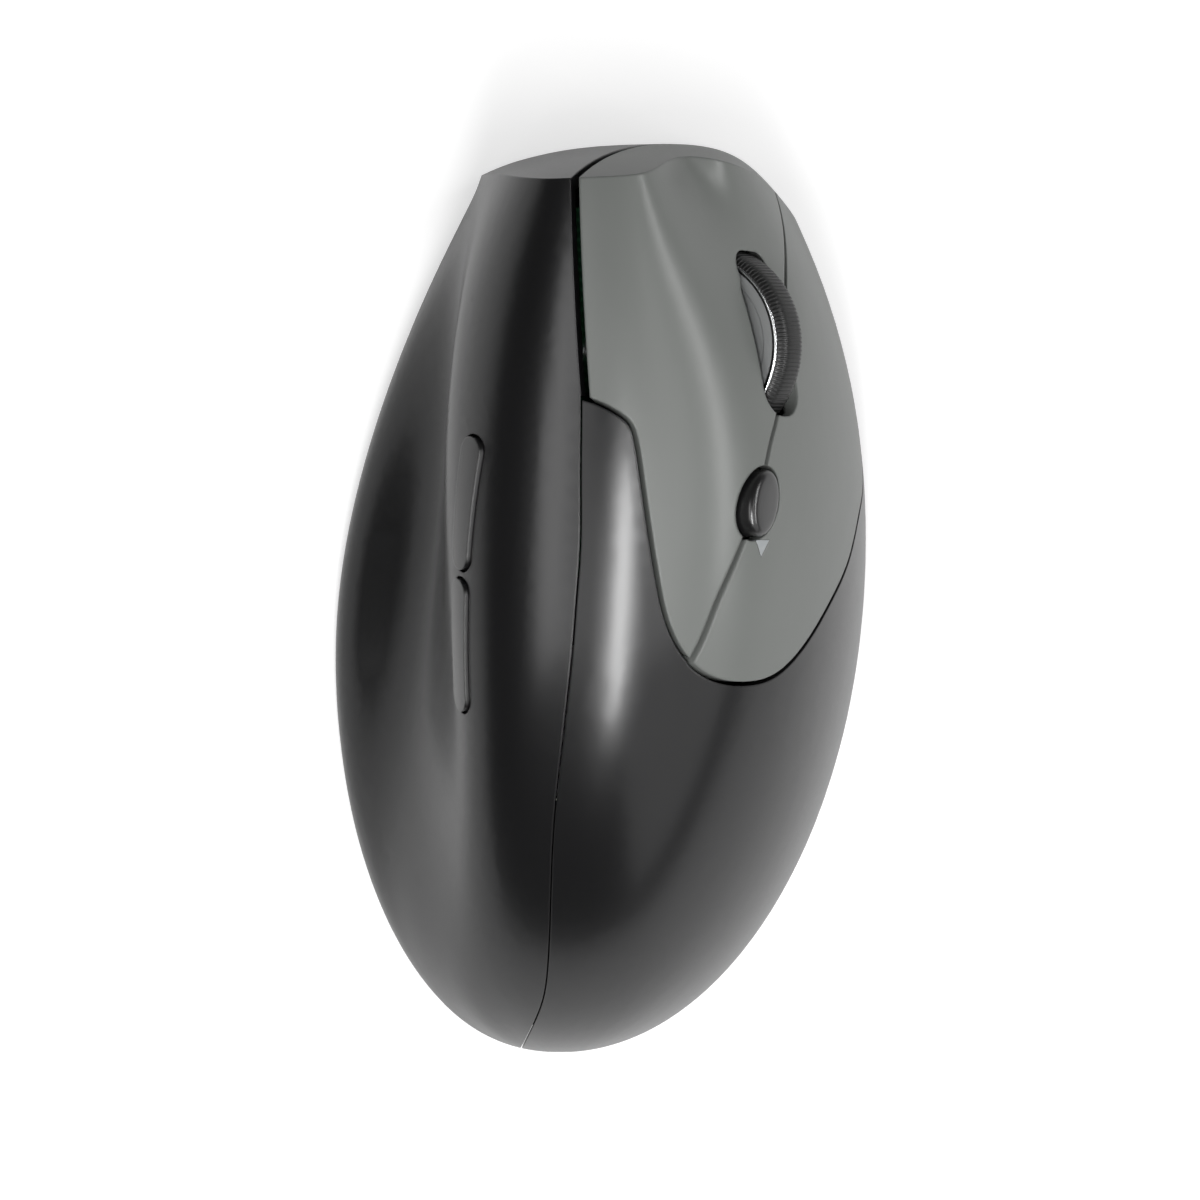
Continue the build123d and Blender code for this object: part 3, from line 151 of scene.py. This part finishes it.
# moulded plastics: fine grain in the roughness, a trace of moulding flow in the colour
plasticLooks = {
    "glossShell": {
        "dark": (0.0042, 0.0042, 0.0046), "light": (0.0062, 0.0060, 0.0066), "rough": 0.285,
        "roughSpread": 0.03, "grain": 0.0006, "flow": 0.018, "grainDepth": 0.0000002,
        "edge": 0.00035, "ior": 1.46, "coat": 0.3, "coatRough": 0.2,
        "worn": ("thumb_shell", "palm_shell"),
    },
    "glossKey": {
        "dark": (0.0045, 0.0045, 0.0048), "light": (0.0065, 0.0063, 0.0067), "rough": 0.3,
        "roughSpread": 0.04, "grain": 0.0006, "flow": 0.008, "grainDepth": 0.0000003,
        "edge": 0.00045, "ior": 1.5, "coat": 0.7, "coatRough": 0.25,
        "worn": ("dpi_button", "forward_button", "back_button"),
    },
    "greyButton": {
        "dark": (0.122, 0.129, 0.122), "light": (0.140, 0.147, 0.140), "rough": 0.34,
        "roughSpread": 0.04, "grain": 0.0003, "flow": 0.02, "grainDepth": 0.0000008,
        "edge": 0.0005, "ior": 1.5, "worn": ("left_button", "right_button"),
    },
    "mattBase": {
        "dark": (0.012, 0.012, 0.013), "light": (0.02, 0.02, 0.021), "rough": 0.55,
        "roughSpread": 0.15, "grain": 0.0005, "flow": 0.01, "grainDepth": 0.00002,
        "edge": 0.0003, "ior": 1.46, "worn": ("base_plate", "battery_door"),
    },
    "darkFrame": {
        "dark": (0.010, 0.010, 0.011), "light": (0.018, 0.018, 0.019), "rough": 0.5,
        "roughSpread": 0.1, "grain": 0.0006, "flow": 0.01, "grainDepth": 0.00001,
        "edge": 0.0003, "ior": 1.46,
        "worn": ("inner_frame", "wheel_yoke", "left_switch_case", "right_switch_case",
                 "middle_switch_case", "dpi_switch_case", "forward_switch_case",
                 "back_switch_case", "power_switch"),
    },
    "palePlunger": {
        "dark": (0.60, 0.60, 0.56), "light": (0.72, 0.72, 0.68), "rough": 0.4,
        "roughSpread": 0.1, "grain": 0.0004, "flow": 0.004, "grainDepth": 0.000004,
        "edge": 0.0002, "ior": 1.46,
        "worn": ("left_switch_plunger", "right_switch_plunger", "middle_switch_plunger",
                 "dpi_switch_plunger", "forward_switch_plunger", "back_switch_plunger",
                 "power_knob"),
    },
    "creamPlug": {
        "dark": (0.66, 0.62, 0.50), "light": (0.76, 0.72, 0.61), "rough": 0.45,
        "roughSpread": 0.1, "grain": 0.0004, "flow": 0.004, "grainDepth": 0.000004,
        "edge": 0.0002, "ior": 1.46, "worn": ("slope_plug", "side_plug", "base_plugs"),
    },
    "wheelCore": {
        "dark": (0.16, 0.165, 0.165), "light": (0.2, 0.205, 0.205), "rough": 0.4,
        "roughSpread": 0.08, "grain": 0.0003, "flow": 0.006, "grainDepth": 0.000004,
        "edge": 0.0003, "ior": 1.46, "worn": ("wheel_hub",),
    },
    "slickGlide": {
        "dark": (0.04, 0.04, 0.041), "light": (0.06, 0.06, 0.061), "rough": 0.3,
        "roughSpread": 0.1, "grain": 0.0008, "flow": 0.006, "grainDepth": 0.000004,
        "edge": 0.0003, "ior": 1.4, "worn": ("front_glide", "rear_glide", "side_glides"),
    },
    "chipBlack": {
        "dark": (0.010, 0.010, 0.011), "light": (0.018, 0.018, 0.019), "rough": 0.6,
        "roughSpread": 0.15, "grain": 0.0002, "flow": 0.003, "grainDepth": 0.000008,
        "edge": 0.0002, "ior": 1.5, "worn": ("sensor_chip", "controller_chip"),
    },
    "flatFlex": {
        "dark": (0.50, 0.50, 0.48), "light": (0.62, 0.62, 0.60), "rough": 0.4,
        "roughSpread": 0.1, "grain": 0.0006, "flow": 0.004, "grainDepth": 0.000003,
        "edge": 0.0001, "ior": 1.5, "worn": ("board_cable", "side_cable"),
    },
    "cellWrap": {
        "dark": (0.30, 0.31, 0.33), "light": (0.36, 0.37, 0.39), "rough": 0.25,
        "roughSpread": 0.1, "grain": 0.0008, "flow": 0.01, "grainDepth": 0.000002,
        "edge": 0.0004, "ior": 1.5, "worn": ("battery",),
    },
}
noCoat = {"coat": 0.0, "coatRough": 0.1}


def mouldedPlastic(name, look):
    coat = {key: look.get(key, plain) for key, plain in noCoat.items()}
    finish = Finish(name, {
        "IOR": look["ior"], "Coat Weight": coat["coat"], "Coat Roughness": coat["coatRough"],
    })
    return finish.cover(look, finish.grain(look["flow"], flowDetail), finish.grain(look["grain"]))


dress(mouldedPlastic, plasticLooks)
print("moulded plastics done")

# rubber: dull black with a breath of dust
rubberLooks = {
    "tyreRubber": {
        "dark": (0.005, 0.005, 0.005), "light": (0.009, 0.009, 0.009), "rough": 0.4,
        "roughSpread": 0.2, "grain": 0.0006, "grainDepth": 0.000006, "edge": 0.0001,
        "ior": 1.5, "worn": (),
    },
}


def dustyRubber(name, look):
    finish = Finish(name, {"IOR": look["ior"]})
    dust = finish.grain(look["grain"])
    return finish.cover(look, dust, dust)


# metals: fine streaks that lie across z
metalLooks = {
    "brightRing": {
        "dark": (0.72, 0.73, 0.74), "light": (0.86, 0.87, 0.88), "rough": 0.12,
        "roughSpread": 0.08, "grain": 0.0008, "stretch": (1, 1, 1), "grainDepth": 0.0000005,
        "edge": 0.0002, "worn": ("wheel_rings",),
    },
    "platedSteel": {
        "dark": (0.46, 0.46, 0.47), "light": (0.62, 0.62, 0.63), "rough": 0.32,
        "roughSpread": 0.2, "grain": 0.0006, "stretch": (1, 1, 6), "grainDepth": 0.000004,
        "edge": 0.0002, "worn": ("hinge_pin", "case_screws", "frame_screws", "board_screws"),
    },
    "nickelContact": {
        "dark": (0.60, 0.58, 0.52), "light": (0.72, 0.70, 0.64), "rough": 0.28,
        "roughSpread": 0.15, "grain": 0.0008, "stretch": (1, 1, 8), "grainDepth": 0.000003,
        "edge": 0.00015, "worn": ("front_contact", "rear_contact"),
    },
    "drawnCan": {
        "dark": (0.68, 0.68, 0.69), "light": (0.80, 0.80, 0.81), "rough": 0.3,
        "roughSpread": 0.12, "grain": 0.0005, "stretch": (1, 1, 5), "grainDepth": 0.000003,
        "edge": 0.0003, "worn": ("crystal", "capacitors"),
    },
}


def brushedMetal(name, look):
    finish = Finish(name, {"Metallic": 1.0})
    streaks = finish.grain(look["grain"], streakDetail, look["stretch"])
    return finish.cover(look, streaks, streaks)


# clear parts: a thin haze in the plastic
clearLooks = {
    "milkyLens": {
        "dark": (0.34, 0.36, 0.37), "light": (0.42, 0.44, 0.45), "rough": 0.325,
        "roughSpread": 0.15, "grain": 0.0008, "grainDepth": 0.000002, "edge": 0.00015,
        "ior": 1.49, "clear": 0.3, "worn": ("status_window", "sensor_lens"),
    },
    "clearLamp": {
        "dark": (0.85, 0.9, 0.85), "light": (0.95, 0.97, 0.95), "rough": 0.075,
        "roughSpread": 0.05, "grain": 0.001, "grainDepth": 0.000002, "edge": 0.00015,
        "ior": 1.49, "clear": 0.85, "worn": ("status_led",),
    },
    "darkGate": {
        "dark": (0.012, 0.010, 0.016), "light": (0.022, 0.018, 0.028), "rough": 0.2,
        "roughSpread": 0.1, "grain": 0.001, "grainDepth": 0.000002, "edge": 0.00015,
        "ior": 1.49, "clear": 0.1, "worn": ("scroll_emitter", "scroll_detector"),
    },
}


def clearPlastic(name, look):
    finish = Finish(name, {"IOR": look["ior"], "Transmission Weight": look["clear"]})
    haze = finish.grain(look["grain"])
    return finish.cover(look, haze, haze)


# boards: raised copper runs under green solder mask
boardLooks = {
    "boardMask": {
        "mask": (0.003, 0.016, 0.007), "copper": (0.007, 0.034, 0.015), "rough": 0.35,
        "roughSpread": 0.15, "grain": 0.0006, "track": 0.00022, "trackSoft": 0.1,
        "runLength": 0.009, "pitch": 0.0013, "trackDepth": 0.00003, "ior": 1.5,
        "worn": ("switch_board", "side_board", "main_board"),
    },
}


def maskedBoard(name, look):
    finish = Finish(name, {"IOR": look["ior"]})
    tracks = finish.node("ShaderNodeTexBrick", {}, {
        "Vector": finish.place(), "Scale": 1.0, "Mortar Size": look["track"],
        "Mortar Smooth": look["trackSoft"], "Brick Width": look["runLength"],
        "Row Height": look["pitch"],
    }, "Fac")
    speck = finish.grain(look["grain"])
    finish.feed(
        colour=finish.blend(tracks, look["mask"], look["copper"]),
        rough=look["rough"] + (speck - noiseMean) * look["roughSpread"],
        normal=finish.bump(tracks, look["trackDepth"]),
    )
    return finish


dress(dustyRubber, rubberLooks)
dress(brushedMetal, metalLooks)
dress(clearPlastic, clearLooks)
dress(maskedBoard, boardLooks)
print("rubber, metals, clear parts and boards done")

facing = 0.9         # least share of a normal along the axis, for a face that looks that way
level = 0.999        # and for a face that is square to the axis
near = 0.95          # share of a radius or half width that counts as being at its end
unitRadius = 0.5     # of a round that is one across, and is then scaled to its size
# the lean is in degrees about y, from upright
wheelAxle = {"centre": (0.0147136, 0.03312, 0.046016), "lean": 147}


def startPiece(name, addPrimitive, **size):
    bpy.ops.object.select_all(action="DESELECT")
    addPrimitive(**size)
    piece = bpy.context.object
    piece.name = name
    return piece


def editFaces():
    bpy.ops.object.mode_set(mode="EDIT")
    bpy.ops.mesh.select_mode(type="FACE")


def endEdit(smooth):
    bpy.ops.object.mode_set(mode="OBJECT")
    bpy.ops.object.shade_smooth_by_angle(angle=math.radians(smooth))


# selects the faces or edges that pass the test, and nothing else
def pick(piece, part, test):
    bpy.ops.mesh.select_all(action="DESELECT")
    work = bmesh.from_edit_mesh(piece.data)
    for item in getattr(work, part):
        item.select_set(bool(test(item)))
    work.select_flush_mode()
    bmesh.update_edit_mesh(piece.data)


def applyPlace():
    bpy.ops.object.transform_apply(location=True, rotation=True, scale=True)


# the piece's z goes along the axle, and along is its distance from the wheel's centre
def seatOnAxle(piece, along):
    lean = math.radians(wheelAxle["lean"])
    piece.rotation_euler = (0, lean, 0)
    piece.location = Vector(wheelAxle["centre"]) + along * Vector((math.sin(lean), 0, math.cos(lean)))
    applyPlace()


# ribbed tyre: a round-shouldered band with a rib on every second strip
tyreShape = {
    "radius": 0.01285, "width": 0.0056, "strips": 288, "shoulder": 0.0017, "shoulderSteps": 4,
    "shoulderRound": 0.5, "wall": 0.0012, "step": 0.0007, "stepDraft": 0.00002, "bore": 0.0010,
    "ribRise": 0.0001, "ribDraft": 0.00004, "ribFacing": 0.35, "smooth": 40,
}


def makeTyre(shape):
    tyre = startPiece("ribbedTyre", bpy.ops.mesh.primitive_cylinder_add, vertices=shape["strips"],
                      radius=shape["radius"], depth=shape["width"])
    half = shape["width"] / 2
    stripTurn = 2 * math.pi / shape["strips"]

    def onCorner(edge):
        atRim = all(spot.co.xy.length > near * shape["radius"] for spot in edge.verts)
        return atRim and abs(sum(spot.co.z for spot in edge.verts)) > 2 * near * half

    def onRib(face):
        middle = face.calc_center_median()
        outward = face.normal.xy.dot(middle.xy.normalized())
        strip = math.floor(math.atan2(middle.y, middle.x) / stripTurn)
        onTread = middle.xy.length > shape["radius"] - shape["shoulder"]
        return outward > shape["ribFacing"] and onTread and strip % 2 == 0

    editFaces()
    pick(tyre, "faces", lambda face: abs(face.normal.z) > facing)
    bpy.ops.mesh.inset(thickness=shape["wall"], use_individual=True)
    bpy.ops.mesh.inset(thickness=shape["stepDraft"], depth=-shape["step"], use_individual=True)
    bpy.ops.mesh.inset(thickness=shape["bore"], use_individual=True)
    bpy.ops.mesh.bridge_edge_loops()
    bpy.ops.mesh.select_mode(type="EDGE")
    pick(tyre, "edges", onCorner)
    bpy.ops.mesh.bevel(offset=shape["shoulder"], segments=shape["shoulderSteps"],
                       profile=shape["shoulderRound"], affect="EDGES")
    bpy.ops.mesh.select_mode(type="FACE")
    pick(tyre, "faces", onRib)
    bpy.ops.mesh.inset(thickness=shape["ribDraft"], depth=shape["ribRise"])
    bpy.ops.mesh.select_all(action="SELECT")
    bpy.ops.mesh.normals_make_consistent(inside=False)
    endEdit(shape["smooth"])
    seatOnAxle(tyre, 0)
    tyre.data.materials.append(finishes["tyreRubber"].material)
    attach(tyre, "wheel")
    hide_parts("wheel_tyre")


makeTyre(tyreShape)
print("tyre done")

# wheel sides: a flat grey cap with a shallow dish, and a bright rim round it
capShape = {
    "around": 144, "radius": 0.01142, "depth": 0.0004, "place": 0.0024, "round": 0.00012,
    "roundSteps": 2, "dishInset": 0.0016, "dishDepth": 0.00012, "smooth": 30,
}
rimShape = {
    "around": 144, "wireAround": 10, "radius": 0.01152, "thickness": 0.00026, "place": 0.0026,
    "backFacing": 0.8, "smooth": 40,
}


def makeCap(shape, word, side):
    cap = startPiece("wheelCap" + word, bpy.ops.mesh.primitive_cylinder_add,
                     vertices=shape["around"], radius=shape["radius"], depth=shape["depth"])
    broad = shape["radius"] ** 2
    editFaces()
    pick(cap, "faces", lambda face: face.normal.z * side > facing)
    bpy.ops.mesh.bevel(offset=shape["round"], segments=shape["roundSteps"], affect="EDGES")
    pick(cap, "faces", lambda face: face.normal.z * side > level and face.calc_area() > broad)
    bpy.ops.mesh.inset(thickness=shape["dishInset"])
    bpy.ops.mesh.inset(thickness=shape["round"], depth=-shape["dishDepth"])
    endEdit(shape["smooth"])
    seatOnAxle(cap, side * shape["place"])
    cap.data.materials.append(finishes["wheelCore"].material)
    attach(cap, "wheel")


def makeRim(shape, word, side):
    rim = startPiece("brightRim" + word, bpy.ops.mesh.primitive_torus_add,
                     major_segments=shape["around"], minor_segments=shape["wireAround"],
                     major_radius=shape["radius"], minor_radius=shape["thickness"])
    inward = (0, 0, -side * shape["thickness"])
    editFaces()
    pick(rim, "faces", lambda face: face.normal.z * side < -shape["backFacing"])
    bpy.ops.mesh.extrude_region_move(TRANSFORM_OT_translate={"value": inward})
    endEdit(shape["smooth"])
    seatOnAxle(rim, side * shape["place"])
    rim.data.materials.append(finishes["brightRing"].material)
    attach(rim, "wheel")
    if side < 0:
        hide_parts("wheel_rings")


for word, side in (("Outer", 1), ("Inner", -1)):
    makeCap(capShape, word, side)
    makeRim(rimShape, word, side)
print("wheel sides done")

# oval button: a domed pebble that stands for the plain solid
ovalShape = {
    "across": -0.0060, "forward": -0.0206, "width": 0.0062, "length": 0.0090, "turn": -21.9,
    "depth": 0.0030, "rim": 0.00095, "rimSteps": 6, "faceInset": 0.0007, "faceRise": 0.00007,
    "around": 96, "smooth": 40,
}


def makeOval(shape):
    slope = math.radians(wheelAxle["lean"] - 90)
    across = Vector((math.cos(slope), 0, -math.sin(slope)))
    out = Vector((math.sin(slope), 0, math.cos(slope)))
    centre = Vector(wheelAxle["centre"])
    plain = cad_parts["dpi_button"].data
    high = max(spot.co.dot(out) for spot in plain.vertices) - centre.dot(out)
    oval = startPiece("ovalButton", bpy.ops.mesh.primitive_cylinder_add,
                      vertices=shape["around"], radius=unitRadius, depth=shape["depth"])
    oval.scale = (shape["width"], shape["length"], 1)
    oval.rotation_euler = (0, 0, math.radians(shape["turn"]))
    applyPlace()
    editFaces()
    pick(oval, "faces", lambda face: face.normal.z > facing)
    bpy.ops.mesh.region_to_loop()
    bpy.ops.mesh.bevel(offset=shape["rim"], segments=shape["rimSteps"], affect="EDGES")
    bpy.ops.mesh.select_mode(type="FACE")
    pick(oval, "faces", lambda face: face.normal.z > level)
    bpy.ops.mesh.inset(thickness=shape["faceInset"], depth=shape["faceRise"])
    endEdit(shape["smooth"])
    rise = high - shape["faceRise"] - shape["depth"] / 2
    oval.rotation_euler = (0, slope, 0)
    oval.location = centre + shape["across"] * across + Vector((0, shape["forward"], 0)) + rise * out
    applyPlace()
    oval.data.materials.append(finishes["glossKey"].material)
    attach(oval, "dpi_key")
    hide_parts("dpi_button")


makeOval(ovalShape)
print("oval button done")

# studio: pale floor, soft lamps, the photograph's view from above
studioLook = {
    "floorSize": 3.0, "floorDrop": -0.00005, "floorColour": (0.58, 0.58, 0.58, 1),
    "floorRough": 0.9, "floorGlow": 0.56, "mirrorGlow": 0.05, "world": 0.065,
    # name, place, size, power, turn in degrees
    "lamps": (
        ("topStrip", (-0.002, -0.24, 0.60), (0.085, 0.44), 3.0, (0, 0, 0)),
        ("leftSoft", (-0.34, -0.04, 0.60), (0.19, 0.60), 1.15, (0, -30, 0)),
        ("rightSoft", (0.25, -0.05, 0.60), (0.16, 0.60), 0.6, (0, 22, 0)),
        ("rearSoft", (0.50, -0.50, 0.40), (0.80, 0.60), 1.2, (58.7, 0, 45)),
        ("fingerStrip", (0.42, 0.10, 0.30), (0.10, 0.50), 1.25, (0, 55, 0)),
    ),
}
# the picture spans frameWidth at the height called level
cameraLook = {
    "lens": 600.0, "frameWidth": 0.15755, "level": 0.030, "centre": (0.00013, -0.00007),
    "nearest": 0.05, "farthest": 20,
}


def stand(name, data, spot):
    holder = bpy.data.objects.new(name, data)
    holder.location = spot
    bpy.context.scene.collection.objects.link(holder)
    return holder


# the floor takes the shadow, and glows for the camera and in reflections only
def makeFloor(look):
    floor = startPiece("studioFloor", bpy.ops.mesh.primitive_plane_add, size=look["floorSize"],
                       location=(0, 0, look["floorDrop"]))
    paper = Finish("studioPaper", {
        "Base Color": look["floorColour"], "Roughness": look["floorRough"], "Specular IOR Level": 0.0,
    })
    toCamera, glossy, passing = (
        paper.node("ShaderNodeLightPath", out="Is %s Ray" % kind)
        for kind in ("Camera", "Glossy", "Transmission"))
    seen = toCamera * look["floorGlow"] + (glossy + passing) * look["mirrorGlow"]
    glow = paper.node("ShaderNodeEmission", {}, {"Color": white, "Strength": seen})
    matt = Wire(paper, paper.shader.outputs[0])
    both = paper.node("ShaderNodeAddShader", {}, {0: matt, 1: glow})
    paper.tree.links.new(both.socket, paper.output.inputs["Surface"])
    floor.data.materials.append(paper.material)


def makeLight(look):
    world = bpy.data.worlds.new("studioWorld")
    bpy.context.scene.world = world
    world.use_nodes = True
    air = world.node_tree.nodes["Background"]
    air.inputs["Color"].default_value = (look["world"], look["world"], look["world"], 1)
    for name, spot, size, power, turn in look["lamps"]:
        lamp = bpy.data.lights.new(name, "AREA")
        lamp.shape = "RECTANGLE"
        lamp.size, lamp.size_y = size
        lamp.energy = power
        stand(name, lamp, spot).rotation_euler = [math.radians(angle) for angle in turn]


def makeCamera(look):
    camera = bpy.data.cameras.new("topCamera")
    camera.lens = look["lens"]
    camera.clip_start = look["nearest"]
    camera.clip_end = look["farthest"]
    reach = look["frameWidth"] * look["lens"] / camera.sensor_width
    bpy.context.scene.camera = stand("topCamera", camera, (*look["centre"], look["level"] + reach))


makeFloor(studioLook)
makeLight(studioLook)
makeCamera(cameraLook)
bpy.context.scene.view_settings.view_transform = "Standard"
print("studio and camera done")
